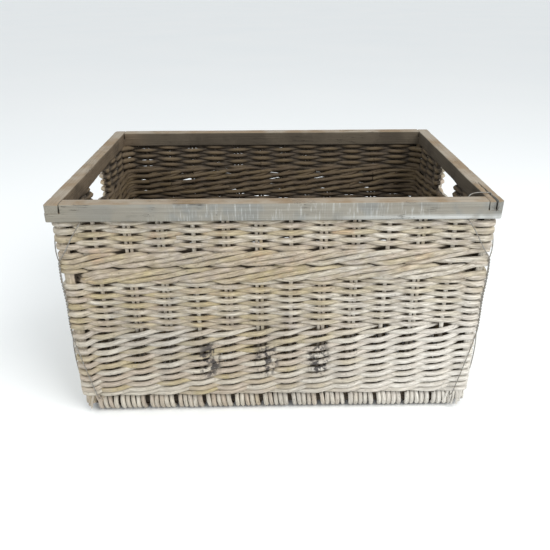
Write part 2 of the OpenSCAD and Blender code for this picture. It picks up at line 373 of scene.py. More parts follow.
def sweepRods(name, rods, material, sides, ripple, rippleSize):
    # one mesh piece from a list of rods, by way of the sweepRods tree
    global rodSeed
    rodSeed += 1
    verts, edges, radii, tones, alongs = [], [], [], [], []
    for rod in rods:
        start, along, last = len(verts), 3.7 * len(verts) % 11, rod["line"][0]
        for point, radius in zip(rod["line"], rod["radii"]):
            along += (point - last).length
            last = point
            verts.append(point[:])
            radii.append(radius)
            tones.append(rod["tone"])
            alongs.append(along)
        edges += [(i, i + 1) for i in range(start, len(verts) - 1)]
    mesh = bpy.data.meshes.new(name + "Lines")
    mesh.from_pydata(verts, edges, [])
    for label, values in (("rodRadius", radii), ("tone", tones), ("rodAlong", alongs)):
        mesh.attributes.new(label, "FLOAT", "POINT").data.foreach_set("value", values)
    lines = link(name + "Lines", mesh)
    modifier = lines.modifiers.new("sweep", "NODES")
    modifier.node_group = rodTree
    for key, value in (("sides", sides), ("ripple", ripple), ("rippleSize", rippleSize),
                       ("seed", float(rodSeed)), ("material", material)):
        modifier[rodIds[key]] = value
    depsgraph = bpy.context.evaluated_depsgraph_get()
    solid = bpy.data.meshes.new_from_object(lines.evaluated_get(depsgraph), depsgraph=depsgraph)
    solid.name = name
    piece = link(name, solid)
    bpy.data.objects.remove(lines)
    return piece


def rodPiece(name, node, slot, rods, material, sides=10, ripple=0.5 * mm, rippleSize=60.0):
    finishPiece(sweepRods(name, rods, material, sides, ripple, rippleSize), [node])


# Shader groups that more than one material uses

def newGroup(name, inputs, outputs):
    group = bpy.data.node_groups.new(name, "ShaderNodeTree")
    for label, value in inputs.items():
        kind = "NodeSocketVector" if value is None else "NodeSocketFloat"
        socket = group.interface.new_socket(label, in_out="INPUT", socket_type=kind)
        if value is not None:
            socket.default_value = value
    for label in outputs:
        group.interface.new_socket(label, in_out="OUTPUT", socket_type="NodeSocketFloat")
    w = Wiring(group)
    return group, w, w.add("NodeGroupInput").outputs, w.add("NodeGroupOutput").inputs


def buildOutwardGroup():
    # how far a point stands out from a rounded rectangle seen from above, in metres
    group, w, source, result = newGroup("wallOutward", {
        "Place": None, "Half Length": lineX, "Half Depth": lineY,
        "Rounding": layout["turnRadius"]}, ["Outward"])
    spot, rounding = w.split(source["Place"]), source["Rounding"]
    past = []
    for axis, half in (("X", "Half Length"), ("Y", "Half Depth")):
        past.append(w.less(w.math("ABSOLUTE", spot[axis]), w.less(source[half], rounding)))
    squares = [w.math("POWER", w.math("MAXIMUM", d, 0.0), 2.0) for d in past]
    corner = w.math("SQRT", w.math("ADD", *squares))
    flat = w.math("MINIMUM", w.math("MAXIMUM", *past), 0.0)
    w.put(result["Outward"], w.less(w.math("ADD", corner, flat), rounding))
    return group


def buildStreakGroup():
    # bark streaks along a rod, straw patches, and small dark buds and specks
    group, w, source, result = newGroup("barkStreaks", {
        "Rod Space": None, "Streak Size": 420.0, "Stretch": 0.12}, ["Streaks", "Specks", "Patches"])
    spot = w.split(source["Rod Space"])
    drawn = w.join(spot["X"], spot["Y"], w.times(spot["Z"], source["Stretch"]))
    w.put(result["Streaks"], w.ramp(w.noise(drawn, source["Streak Size"], 4.0), 0.36, 0.68))
    w.put(result["Patches"], w.ramp(w.noise(source["Rod Space"], 34.0), 0.35, 0.65))
    cells = w.add("ShaderNodeTexVoronoi", {"Vector": source["Rod Space"], "Scale": 95.0})
    w.put(result["Specks"], w.ramp(cells.outputs["Distance"], 0.10, 0.24, 1.0, 0.0))
    return group


def buildGrainGroup():
    # long grain, drying cracks and cross scratches on timber
    outputs = ["Grain", "Cracks", "Scratches"]
    group, w, source, result = newGroup("timberGrain", {"Grain Space": None}, outputs)
    place = source["Grain Space"]
    fine = w.noise(w.mapping(place, (6, 420, 420)), 1.0, 5.0, 0.62, 0.4)
    w.put(result["Grain"], w.ramp(fine, 0.3, 0.7))
    lines = w.noise(w.mapping(place, (7, 150, 150), (3, 1, 7)), 1.0, 3.0, 0.5, 1.2)
    broken = w.noise(w.mapping(place, (14, 30, 30), (9, 2, 5)), 1.0, 2.0, 0.5)
    ridge = w.ramp(w.math("ABSOLUTE", w.less(lines, 0.5)), 0.0, 0.012, 1.0, 0.0)
    w.put(result["Cracks"], w.times(ridge, w.ramp(broken, 0.5, 0.62)))
    scratch = w.noise(w.mapping(place, (330, 30, 30), (1, 8, 3)), 1.0, 3.0, 0.6, 0.6)
    w.put(result["Scratches"], w.ramp(scratch, 0.52, 0.72))
    return group


outwardGroup = buildOutwardGroup()
streakGroup = buildStreakGroup()
grainGroup = buildGrainGroup()
print("shader groups built")


# Materials

def newMaterial(name):
    material = bpy.data.materials.new(name)
    material.use_nodes = True
    return material, Wiring(material.node_tree), material.node_tree.nodes["Principled BSDF"].inputs


willow = {
    "bleached": (0.60, 0.555, 0.475, 1),
    # painted light: near white for the brightly lit right side of the outside
    "paintedLightWhite": (0.80, 0.775, 0.72, 1),
    "pink": (0.49, 0.42, 0.345, 1),
    "straw": (0.47, 0.395, 0.235, 1),
    "orange": (0.50, 0.285, 0.145, 1),
    "grey": (0.40, 0.39, 0.37, 1),
    # inside browns: unbleached willow, made darker still as painted shade
    "inside": (0.060, 0.039, 0.021, 1),
    "insideOlive": (0.115, 0.080, 0.038, 1),
    "insideLit": (0.21, 0.155, 0.095, 1),
    "grime": (0.14, 0.11, 0.08, 1),
    "creviceShadeAndSpecks": (0.018, 0.013, 0.009, 1),
    # near black: painted shade for the crevices between rods, and the colour of the small dark specks
    "mark": (0.045, 0.040, 0.040, 1),
    "markSpots": (-0.131, -0.017, 0.086),   # three dabs along the front
    "markHeight": 0.127,
    "markReach": (0.025, 0.045),
}


def markMask(w, place):
    # three worn dark dabs on the front
    spot = w.split(place)
    wide, tall = willow["markReach"]
    up = w.times(w.less(spot["Z"], willow["markHeight"]), 1 / tall)
    best = None
    for x in willow["markSpots"]:
        across = w.times(w.less(spot["X"], x), 1 / wide)
        away = w.math("ADD", w.math("POWER", across, 2.0), w.math("POWER", up, 2.0))
        near = w.ramp(away, 0.35, 1.25, 1.0, 0.0)
        best = near if best is None else w.math("MAXIMUM", best, near)
    broken = w.ramp(w.noise(w.mapping(place, (1, 1, 0.55)), 75.0, 4.0, 0.65), 0.45, 0.56)
    front = w.ramp(spot["Y"], -lineY - 1 * mm, -lineY + 2 * mm, 1.0, 0.0)
    return w.times(w.times(best, broken), front)


def outsideColour(w, place, tone, patches, warmth):
    # bleached, pinkish or straw by the rod, ruddy in patches near the rim, and whitest at the right, where
    # painted light stands in for the brighter lighting on that side
    spot = w.split(place)
    colour = w.mix(w.ramp(tone, 0.25, 0.55), willow["bleached"], willow["pink"])
    patchy = w.ramp(w.noise(place, 26.0), 0.38, 0.62, 0.35, 1.0)
    colour = w.mix(w.times(w.ramp(tone, 0.62, 0.80), patchy), colour, willow["straw"])
    ruddy = w.times(w.ramp(tone, 0.40, 0.95, 0.15, 0.75), w.ramp(w.noise(place, 19.0), 0.52, 0.66))
    ruddy = w.times(ruddy, w.ramp(spot["Z"], 0.30, 0.40, 0.35, 1.0))
    colour = w.mix(w.times(ruddy, warmth), colour, willow["orange"])
    weathered = w.ramp(w.noise(place, 7.5), 0.42, 0.66)
    colour = w.mix(w.times(weathered, 0.45), colour, willow["grey"])
    colour = w.mix(w.times(patches, 0.12 + 0.3 * warmth), colour, willow["straw"])
    # painted light: towards the right, and more towards the bottom, the outside is mixed towards white
    paintedLightRight = w.times(w.ramp(spot["X"], -0.05, 0.34), w.ramp(spot["Z"], 0.36, 0.16, 0.2, 0.75))
    return w.mix(paintedLightRight, colour, willow["paintedLightWhite"])


def insideColour(w, place, tone, patches):
    # brown, as unbleached willow is, and darkened further as painted shade; more yellow at the left near the
    # rim, where painted light falls
    spot = w.split(place)
    colour = w.mix(w.ramp(tone, 0.3, 0.8), willow["inside"], willow["insideOlive"])
    lit = w.times(w.ramp(spot["X"], 0.0, -0.34), w.ramp(spot["Z"], 0.33, 0.41))
    colour = w.mix(w.times(lit, 0.85), colour, willow["insideLit"])
    return w.mix(w.times(patches, 0.5), colour, willow["insideOlive"])


def willowMaterial(name, darkTo, paleFrom, warmth, marked=False, darkerBelow=None, grime=0.44):
    # pale and bleached outside, near black in the crevices as painted shade, brown inside, darkened further
    # with painted shade
    material, w, shader = newMaterial(name)
    place = w.place()
    tone = w.attribute("tone")
    marks = w.group(streakGroup, {"Rod Space": w.attribute("rodSpace", "Vector")})
    outward = w.group(outwardGroup, {"Place": place})["Outward"]
    edge = w.math("ADD", outward, w.times(w.less(w.noise(place, 60.0), 0.5), 3 * mm))
    # behind the wall line the inside colour shows, with its painted shade; in front of it, the outside
    # colour
    pale = w.ramp(edge, darkTo, paleFrom)
    if darkerBelow is not None:
        # below this height the pale outside colour fades out, so the stakes go darker
        height = w.split(place)["Z"]
        pale = w.times(pale, w.ramp(height, darkerBelow - 6 * mm, darkerBelow + 6 * mm, 0.12, 1.0))
    # painted shade: surfaces just behind the wall's middle line, in the crevices, go near black; deeper
    # inside surfaces keep the inside brown
    within = w.ramp(edge, -9.0 * mm, -4.0 * mm, 1.0, 0.0)
    colour = w.mix(within, willow["creviceShadeAndSpecks"], insideColour(w, place, tone, marks["Patches"]))
    colour = w.mix(pale, colour, outsideColour(w, place, tone, marks["Patches"], warmth))
    colour = w.mix(w.times(w.less(1.0, marks["Streaks"]), grime), colour, willow["grime"])
    # the small dark buds and specks on the bark take the same near-black colour
    colour = w.mix(w.times(marks["Specks"], 0.25), colour, willow["creviceShadeAndSpecks"])
    if marked:
        colour = w.mix(w.times(markMask(w, place), 0.93), colour, willow["mark"])
    w.put(shader["Base Color"], colour)
    w.put(shader["Roughness"], w.ramp(marks["Streaks"], 0.0, 1.0, 0.88, 0.66))
    shader["Specular IOR Level"].default_value = 0.25
    w.put(shader["Normal"], w.bump(w.less(marks["Streaks"], marks["Specks"]), 0.55, 0.6 * mm))
    return material


timber = {
    "top": (0.255, 0.185, 0.115, 1),
    "topPale": (0.33, 0.285, 0.225, 1),
    "face": (0.268, 0.255, 0.218, 1),
    "faceBlue": (0.225, 0.228, 0.212, 1),
    "inner": (0.105, 0.086, 0.062, 1),
    # painted light: the inner face of the left rail, where light falls on it
    "innerLitLeft": (0.175, 0.132, 0.088, 1),
    "endGrain": (0.255, 0.235, 0.19, 1),
    "darkGrain": (0.10, 0.08, 0.06, 1),
    "crack": (0.03, 0.024, 0.018, 1),
    "wash": (0.60, 0.62, 0.61, 1),
}


def faceColour(w, place, blotch, scratches):
    # outer side of a rail: grey, brushed with a pale wash, paler still along its lower right edge
    spot = w.split(place)
    colour = w.mix(w.ramp(w.noise(place, 16.0), 0.4, 0.6), timber["face"], timber["faceBlue"])
    washed = w.times(scratches, w.ramp(w.noise(place, 9.0, 2.0, 0.5), 0.40, 0.60))
    colour = w.mix(w.times(washed, 0.42), colour, timber["wash"])
    lowEdge = w.ramp(spot["Z"], rimUnder + 13 * mm, rimUnder + 5 * mm)
    worn = w.times(w.times(w.ramp(spot["X"], -0.05, 0.34), lowEdge), w.ramp(blotch, 0.35, 0.55))
    colour = w.mix(w.times(worn, 0.75), colour, timber["wash"])
    return w.mix(w.times(w.ramp(spot["X"], -0.20, -0.36), 0.6), colour, timber["endGrain"])


def timberMaterial(name, along):
    # along is the axis the grain follows: 0 for the long rails, 1 for the side rails
    material, w, shader = newMaterial(name)
    place = w.place()
    spot = w.split(place)
    first, second = ("X", "Y") if along == 0 else ("Y", "X")
    turned = w.join(spot[first], spot[second], spot["Z"])
    marks = w.group(grainGroup, {"Grain Space": turned})
    normal = w.add("ShaderNodeNewGeometry").outputs["Normal"]
    upward = w.ramp(w.split(normal)["Z"], 0.35, 0.8)
    outward = w.group(outwardGroup, {
        "Place": place, "Half Length": rimX - railWide / 2, "Half Depth": rimY - railWide / 2,
        "Rounding": 1 * mm})["Outward"]
    inner = w.times(w.ramp(outward, -9 * mm, 4 * mm, 1.0, 0.0), w.less(1.0, upward))

    blotch = w.noise(place, 11.0, 4.0)
    top = w.mix(w.ramp(blotch, 0.38, 0.62), timber["top"], timber["topPale"])
    colour = w.mix(upward, faceColour(w, place, blotch, marks["Scratches"]), top)
    # painted light: the inner face is lighter at the left rail
    innerTone = w.mix(w.ramp(spot["X"], -0.30, -0.37), timber["inner"], timber["innerLitLeft"])
    innerTone = w.mix(w.times(w.ramp(blotch, 0.55, 0.35), 0.45), innerTone, timber["crack"])
    colour = w.mix(inner, colour, innerTone)
    colour = w.mix(w.times(w.less(1.0, marks["Grain"]), 0.27), colour, timber["darkGrain"])
    colour = w.mix(w.times(marks["Cracks"], 0.9), colour, timber["crack"])
    colour = w.mix(w.times(w.attribute("hollow"), 0.92), colour, timber["crack"])
    w.put(shader["Base Color"], colour)
    w.put(shader["Roughness"], w.ramp(marks["Grain"], 0, 1, 0.9, 0.7))
    shader["Specular IOR Level"].default_value = 0.2
    height = w.less(marks["Grain"], w.times(marks["Cracks"], 2.0))
    height = w.less(height, w.times(marks["Scratches"], 0.4))
    w.put(shader["Normal"], w.bump(height, 0.6, 0.8 * mm))
    return material


def ironMaterial(name):
    # grey wire with brown rust
    material, w, shader = newMaterial(name)
    rust = w.ramp(w.noise(w.place(), 260.0, 4.0), 0.42, 0.62)
    w.put(shader["Base Color"], w.mix(rust, (0.27, 0.265, 0.25, 1), (0.19, 0.16, 0.125, 1)))
    w.put(shader["Roughness"], w.ramp(rust, 0, 1, 0.45, 0.85))
    w.put(shader["Metallic"], w.ramp(rust, 0, 1, 0.5, 0.1))
    w.put(shader["Normal"], w.bump(rust, 0.4, 0.2 * mm))
    return material


def floorMaterial():
    material, w, shader = newMaterial("studioFloor")
    tint = w.noise(w.place(), 0.8, 1.0, 0.4)
    w.put(shader["Base Color"], w.mix(tint, (0.86, 0.88, 0.885, 1), (0.90, 0.905, 0.90, 1)))
    shader["Roughness"].default_value = 0.9
    shader["Specular IOR Level"].default_value = 0.1
    return material


weaveWillow = willowMaterial("weaveWillow", 0.4 * mm, 3.4 * mm, 1.0, grime=0.60)
lowerWillow = willowMaterial("lowerWillow", -1.3 * mm, 1.2 * mm, 0.1, True)
baseWillow = willowMaterial("baseWillow", -11 * mm, -4 * mm, 0.0)
stickWillow = willowMaterial("stickWillow", 4 * mm, 9 * mm, 0.0)
stakeWillow = willowMaterial("stakeWillow", -0.5 * mm, 1.5 * mm, 0.5, False, lowerHigh)
postWillow = willowMaterial("postWillow", -0.5 * mm, 1.5 * mm, 0.5)
longTimber = timberMaterial("longTimber", 0)
sideTimber = timberMaterial("sideTimber", 1)
tieIron = ironMaterial("tieIron")
print("materials built")


# Stakes and corner posts

stakes = {
    "foot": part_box("stakes_front")[0].z,
    "sideFoot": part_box("stakes_right")[0].z,
    "hideFoot": 40 * mm,        # the front and back stakes end behind the base's rolled edge
    "top": rimUnder + 6 * mm,
    "step": 14 * mm,
    "bendEvery": 40 * mm,
    "bend": 0.6 * mm,
    "postBend": 0.8 * mm,
    "postTop": rimUnder + 2 * mm,
    "frontLeftMore": 2.6 * mm,  # the post at the front left is thicker
    "bark": (0.7 * mm, 45),     # depth and fineness of the bark's ripple
    "postBark": (1.6 * mm, 38),
}


def uprightRod(x, y, z0, z1, radius, rng, bend):
    # one upright stick, slightly bent and thinner towards its top
    count = max(4, round((z1 - z0) / stakes["bendEvery"]))
    points = []
    for i in range(count + 1):
        z = z0 + (z1 - z0) * i / count
        points.append(Vector((x + rng.uniform(-1, 1) * bend, y + rng.uniform(-1, 1) * bend, z)))
    return makeRod(points, radius * 1.03, radius * 0.95, rng.uniform(0.1, 0.8), stakes["step"])


def groupRods(first, kinds, rng, z0, z1):
    # the sticks of one wall that are of the kinds asked for
    rods = []
    for index in kindIndexes(first, kinds):
        group = groupAt(index)
        for k in ([-0.5, 0.5] if group["kind"] == "twin" else [0.0]):
            spot = wallPoint(group["s"] + k * (2 * layout["twinRadius"] + layout["twinGap"]), 0, 0)
            foot = stakes["hideFoot"] if abs(spot.y) > lineY - 1 * mm else z0
            rods.append(uprightRod(spot.x, spot.y, foot, z1, group["radius"], rng, stakes["bend"]))
    return rods


def kindIndexes(first, kinds):
    # from the first stake of a wall up to the next post
    found = []
    while ring[first]["kind"] != "post":
        if ring[first]["kind"] in kinds:
            found.append(first)
        first += 1
    return found


frontFirst, rightFirst = 0, frontCount + 1
backFirst = rightFirst + 9
leftFirst = backFirst + frontCount + 1


def buildStakes():
    rng = random.Random(11)
    for side, first, foot in (
        ("Front", frontFirst, "foot"), ("Right", rightFirst, "sideFoot"),
        ("Back", backFirst, "foot"), ("Left", leftFirst, "sideFoot"),
    ):
        rods = groupRods(first, ("single", "twin"), rng, stakes[foot], stakes["top"])
        node = "stakes_" + side.lower()
        rodPiece("stakes" + side, node, "willow_stakes", rods, stakeWillow, 10, *stakes["bark"])
    for side, first in (("Right", rightFirst), ("Left", leftFirst)):
        rods = groupRods(first, ("jamb",), rng, stakes["sideFoot"], stakes["top"])
        rods += groupRods(first, ("short",), rng, stakes["sideFoot"], waleHigh)
        node = "handhold_stakes_" + side.lower()
        rodPiece("handholdStakes" + side, node, "willow_stakes", rods, stakeWillow, 10, *stakes["bark"])


def buildPosts():
    rng = random.Random(12)
    for front, sy in (("Front", -1), ("Back", 1)):
        for side, sx in (("Left", -1), ("Right", 1)):
            node = f"corner_post_{front.lower()}_{side.lower()}"
            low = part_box(node)[0].z
            radius = layout["postRadius"] + (stakes["frontLeftMore"] if (sx, sy) == (-1, -1) else 0)
            top, bend = stakes["postTop"], stakes["postBend"]
            rods = [uprightRod(sx * postX, sy * postY, low, top, radius, rng, bend)]
            name = "cornerPost" + front + side
            rodPiece(name, node, "willow_stakes", rods, postWillow, 20, *stakes["postBark"])


buildStakes()
buildPosts()
print("stakes and posts made")


# Woven bands

bands = {
    "rowRadius": 4.95 * mm,     # plain weave
    "rowPitch": 7.2 * mm,
    "sway": 5.3 * mm,           # how far a rod stands off the wall's middle line at a stake
    "upperRows": 8,
    "fillerRows": 9,            # plain rows hidden inside the rope-like band
    "fillerSway": 4.5 * mm,
    "fillerCross": -3 * mm,
    "fillerShift": -4 * mm,
    "lowerRadius": 5.25 * mm,   # slanted weave, at the butt
    "lowerTip": 5.0 * mm,
    "lowerRounds": 9,
    "lowerStretch": 0.22,       # the rounds open up towards the top
    "lowerCross": -1.5 * mm,
    "lowerSway": 6.6 * mm,
    "waleRadius": 5.35 * mm,    # rope-like band
    "waleSway": 6.6 * mm,
    "waleRounds": 2,
    "parting": (0.0, -2.6 * mm, -6.2 * mm, 2.2 * mm),   # strands at the front right post
    "swell": 0.24,              # how much thicker a rod is where it turns round a corner post
    "lowerSwell": 0.06,
    "swellReach": 26 * mm,
    "fibres": 9,
}


def overUnder(i):
    return 1 if i % 2 == 0 else -1


def toneOf(rng, warm):
    # most rods are pale, some are pinkish or straw, a few are orange
    t = rng.random()
    if t < 0.48:
        return rng.uniform(0.0, 0.45)
    if t < 0.74:
        return rng.uniform(0.45, 0.66)
    if t < 1 - 0.12 * warm:
        return rng.uniform(0.66, 0.86)
    return rng.uniform(0.88, 1.0)


def swellAtPosts(rod, amount):
    for i, point in enumerate(rod["line"]):
        away = math.hypot(abs(point.x) - postX, abs(point.y) - postY)
        rod["radii"][i] *= 1 + amount * min(max(1.5 - away / bands["swellReach"], 0), 1)
    return rod


def plainRows(rng, zLow, zHigh, rows, warm, filler=False):
    # plain over-and-under rows all round, made of rods that meet behind the stakes
    rods = []
    for row in range(rows):
        z = zLow + (row + 0.5) * (zHigh - zLow) / rows
        start = 2 * rng.randrange(ringCount // 2) + (row + 1) % 2
        done = 0
        while done < ringCount:
            count = min(2 * rng.randint(7, 11), ringCount - done)
            indexes = range(start + done, start + done + count + 1)
            groups = [groupAt(i) for i in indexes]
            sides = [overUnder(i + row) for i in indexes]
            heights = [z + rng.uniform(-0.7, 0.7) * mm for _ in indexes]
            radius = bands["rowRadius"] * rng.uniform(0.92, 1.07)
            done += count
            if filler:
                sides = [-1 if g["kind"] == "post" else side for g, side in zip(groups, sides)]
                points = weavePoints(groups, sides, heights, bands["fillerSway"], rng, 0.8 * mm,
                                     bands["fillerCross"], bands["fillerShift"])
                rods.append(makeRod(points, radius, radius * 0.93, toneOf(rng, warm)))
            else:
                points = weavePoints(groups, sides, heights, bands["sway"], rng)
                rod = makeRod(points, radius * 1.06, radius * 0.92, toneOf(rng, warm))
                rods.append(swellAtPosts(rod, bands["swell"]))
    return rods


def slantedRods(rng, zLow, zHigh, rounds, stretch):
    # each rod starts at its own stake and climbs two stakes a round
    rods = []
    steps = range(2 * rounds + 1)
    for first in range(ringCount):
        groups = [groupAt(first + k) for k in steps]
        sides = [overUnder(k + 1) for k in steps]
        heights = []
        for k in steps:
            part = k / (2 * rounds)
            part = (1 - stretch) * part + stretch * part * part
            heights.append(zLow + (zHigh - zLow) * part + rng.uniform(-0.9, 0.9) * mm)
        radius = bands["lowerRadius"] * rng.uniform(0.92, 1.05)
        tip = bands["lowerTip"] * rng.uniform(0.93, 1.05)
        points = weavePoints(groups, sides, heights, bands["lowerSway"], rng, 0.5 * mm, bands["lowerCross"])
        rods.append(swellAtPosts(makeRod(points, radius, tip, toneOf(rng, 0.3)), bands["lowerSwell"]))
    return rods


def waleRods(rng, zLow, zHigh, rounds, radius, warm):
    # four strands a round; each passes in front of three stakes and behind one, and climbs as it goes
    rods = []
    strands = 4
    roundHeight = (zHigh - zLow) / rounds
    lift = roundHeight / (strands - 1)
    for level in range(rounds):
        z = zLow + (level + 0.5) * roundHeight
        drift = [rng.uniform(-1.7, 1.7) * mm for _ in range(ringCount)]
        for strand in range(strands):
            first, last = backFirst, backFirst + ringCount
            behind = [i for i in range(first + 2, last - 1) if (i + strand) % strands == 0]
            stops = [first] + [i for i in behind if rng.random() < 0.3] + [last]
            for start, stop in zip(stops, stops[1:]):
                groups, sides, heights = [], [], []
                for i in range(start, stop + 1):
                    phase = (i + strand) % strands
                    up = 0 if phase == 0 else phase - strands / 2
                    height = z + up * lift + drift[i % ringCount] + rng.uniform(-1.3, 1.3) * mm
                    # the strands part at the front right post
                    if i % ringCount == rightFirst - 1:
                        height += bands["parting"][phase]
                    # and the lowest round leaves the front left post bare
                    bare = level == 0 and strand > 1 and i == ringCount - 1
                    groups.append(groupAt(i))
                    sides.append(-1 if phase == 0 or bare else 1)
                    heights.append(height)
                thick = radius * rng.uniform(0.88, 1.06)
                points = weavePoints(groups, sides, heights, bands["waleSway"], rng, 0.6 * mm, -0.42 * lift)
                rods.append(makeRod(points, thick * 1.04, thick * 0.92, toneOf(rng, warm)))
    return rods


def looseFibres(rng, count):
    # thin strips of bark that stand away from the front
    rods = []
    for _ in range(count):
        s = runX + rng.uniform(-0.75, 0.95) * runX
        z = rng.uniform(waleLow - 6 * mm, waleHigh)
        sideways = rng.uniform(-1, 1)
        points = []
        for k in range(5):
            reach = 8 * mm + k * rng.uniform(0.6, 2.2) * mm
            points.append(wallPoint(s + sideways * k * 5 * mm, reach, z + k * rng.uniform(-1.5, 3.0) * mm))
        rods.append(makeRod(points, 0.55 * mm, 0.3 * mm, 0.95, 3 * mm))
    return rods


def buildBands():
    rng = random.Random(21)
    rods = slantedRods(rng, footLow - 1 * mm, footHigh + 4 * mm, 1, 0)
    rodPiece("footBand", "foot_band", "willow_weave", rods, lowerWillow, 9)
    rods = slantedRods(rng, lowerLow + 1 * mm, lowerHigh, bands["lowerRounds"], bands["lowerStretch"])
    rodPiece("lowerWeave", "lower_weave", "willow_weave", rods, lowerWillow, 9)
    rows = round((middleHigh - middleLow) / bands["rowPitch"])
    rods = plainRows(rng, middleLow, middleHigh, rows, 0.4)
    rodPiece("middleWeave", "middle_weave", "willow_weave", rods, weaveWillow)
    rods = waleRods(rng, waleLow, waleHigh, bands["waleRounds"], bands["waleRadius"], 0.3)
    rods += plainRows(rng, waleLow - 1 * mm, waleHigh + 1 * mm, bands["fillerRows"], 0.3, True)
    rods += looseFibres(rng, bands["fibres"])
    rodPiece("waleBand", "wale_band", "willow_weave", rods, weaveWillow)


def jambTurn(group, z0, z1, fromSide, radius, direction):
    # the rod turns round the jamb stake and comes back one row higher
    reach = group["radius"] + radius
    points = []
    for k in range(1, 4):
        a = math.pi * k / 4
        out = fromSide * reach * math.cos(a)
        s = group["s"] + direction * reach * math.sin(a)
        points.append(skewed(wallPoint(s, out, z0 + (z1 - z0) * k / 4)))
    return points


def upperHalf(rng, firstIndex, lastIndex):
    # one line goes back and forth between two jamb stakes, and is cut into rods
    rods, points = [], []
    rows, radius = bands["upperRows"], bands["rowRadius"]
    pitch = (rimUnder - 1 * mm - upperLow) / rows
    for row in range(rows):
        direction = overUnder(row)
        indexes = range(firstIndex, lastIndex + 1)[::direction]
        z = upperLow + (row + 0.5) * pitch
        groups = [groupAt(i) for i in indexes]
        sides = [overUnder(i + row) for i in indexes]
        points += weavePoints(groups, sides, [z] * len(groups), bands["sway"], rng, 0.6 * mm, -0.6 * mm)
        if row < rows - 1:
            points += jambTurn(groups[-1], z, z + pitch, sides[-1], radius, direction)
    start = 0
    while start < len(points) - 4:
        count = rng.randint(30, 44)
        if len(points) - (start + count) < 12:
            count = len(points) - start
        thick = radius * rng.uniform(0.95, 1.05)
        rod = makeRod(points[start:start + count + 1], thick * 1.05, thick * 0.94, toneOf(rng, 1.0))
        rods.append(swellAtPosts(rod, bands["swell"]))
        start += count
    return rods


def buildUpper():
    rng = random.Random(23)
    rightJambs = kindIndexes(rightFirst, ("jamb",))
    leftJambs = kindIndexes(leftFirst, ("jamb",))
    rods = upperHalf(rng, leftJambs[1] - ringCount, rightJambs[0])
    rodPiece("upperWeaveFront", "upper_weave_front", "willow_weave", rods, weaveWillow)
    rods = upperHalf(rng, rightJambs[1], leftJambs[0])
    rodPiece("upperWeaveBack", "upper_weave_back", "willow_weave", rods, weaveWillow)


buildBands()
buildUpper()
print("walls woven")


# Base

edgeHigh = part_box("base_edge_front")[1]
stickLow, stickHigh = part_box("base_stick_front")
innerLow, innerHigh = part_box("base_inner_sticks")
base = {
    "stickRadius": (stickHigh.z - stickLow.z) / 2,
    "stickY": -(stickLow.y + stickHigh.y) / 2,
    "stickZ": (stickLow.z + stickHigh.z) / 2,
    "loopRadius": 4.9 * mm,
    "loopPitch": 10.3 * mm,
    "loopsPerBay": 5,
    "wideBay": 50 * mm,             # a narrower bay has one loop less
    "lean": (1.0 * mm, 9.0 * mm),   # how far a loop leans to the right on its way down
    "laneRadius": 4.9 * mm,
    "innerRadius": (innerHigh.z - innerLow.z) / 2,
    "innerCount": 7,
    "slitY": 232 * mm,              # half length of the straight rods that close the slits
    "slitRadius": (4.6 * mm, 4.1 * mm),
    "slitSway": 4 * mm,
}


def lanePositions():
    # base rods lie in fives between the stakes
    bays = [-edgeHigh.x] + frontX + [edgeHigh.x]
    lanes = []
    for left, right in zip(bays, bays[1:]):
        count = base["loopsPerBay"] if right - left > base["wideBay"] else base["loopsPerBay"] - 1
        lanes += [(left + right) / 2 + (k - (count - 1) / 2) * base["loopPitch"] for k in range(count)]
    return lanes


def innerSpots():
    # the inner sticks, from front to back
    span, last = innerHigh.y - base["innerRadius"], base["innerCount"] - 1
    return [-span + 2 * span * i / last for i in range(last + 1)]


def laneRod(x, parity, rng):
    # wraps one long stick, crosses over and under the inner sticks, and wraps the other
    r = base["stickRadius"] + base["loopRadius"]
    lowest = 0.3 * mm - r
    stickZ, stickY = base["stickZ"], base["stickY"]
    jig = rng.uniform(-0.5, 0.5) * mm
    lean = rng.uniform(*base["lean"])
    points = []
    for k in range(9):
        a = math.radians(-100 + 190 * k / 8)
        z = stickZ + max(r * math.sin(a), lowest)
        spot = Vector((x + jig + lean * (0.6 - k / 8), -stickY - r * math.cos(a), z))
        points.append(Vector((spot.x, spot.y - leanOut(spot), spot.z)))
    for i, y in enumerate(innerSpots()):
        z = stickZ + overUnder(i + parity) * (base["innerRadius"] + base["laneRadius"] * 0.8)
        points.append(Vector((x + rng.uniform(-0.6, 0.6) * mm, y, z)))
    for k in range(9):
        a = math.radians(90 - 190 * k / 8)
        z = stickZ + max(r * math.sin(a), lowest)
        points.append(Vector((x - jig, stickY + r * math.cos(a), z)))
    radius = base["loopRadius"] * rng.uniform(0.86, 1.05)
    return makeRod(points, radius, radius * 0.96, rng.uniform(0.0, 0.72), 8 * mm)


def splitLane(rod):
    # parts of a lane: front wrap, base, back wrap
    parts = [[], [], []]
    for point, radius in zip(rod["line"], rod["radii"]):
        which = 0 if point.y < edgeHigh.y else 2 if point.y > -edgeHigh.y else 1
        parts[which].append((point, radius))
    parts[0].append(parts[1][0])
    parts[2].insert(0, parts[1][-1])
    return [{"line": [p for p, r in part], "radii": [r for p, r in part], "tone": rod["tone"]}
            for part in parts]


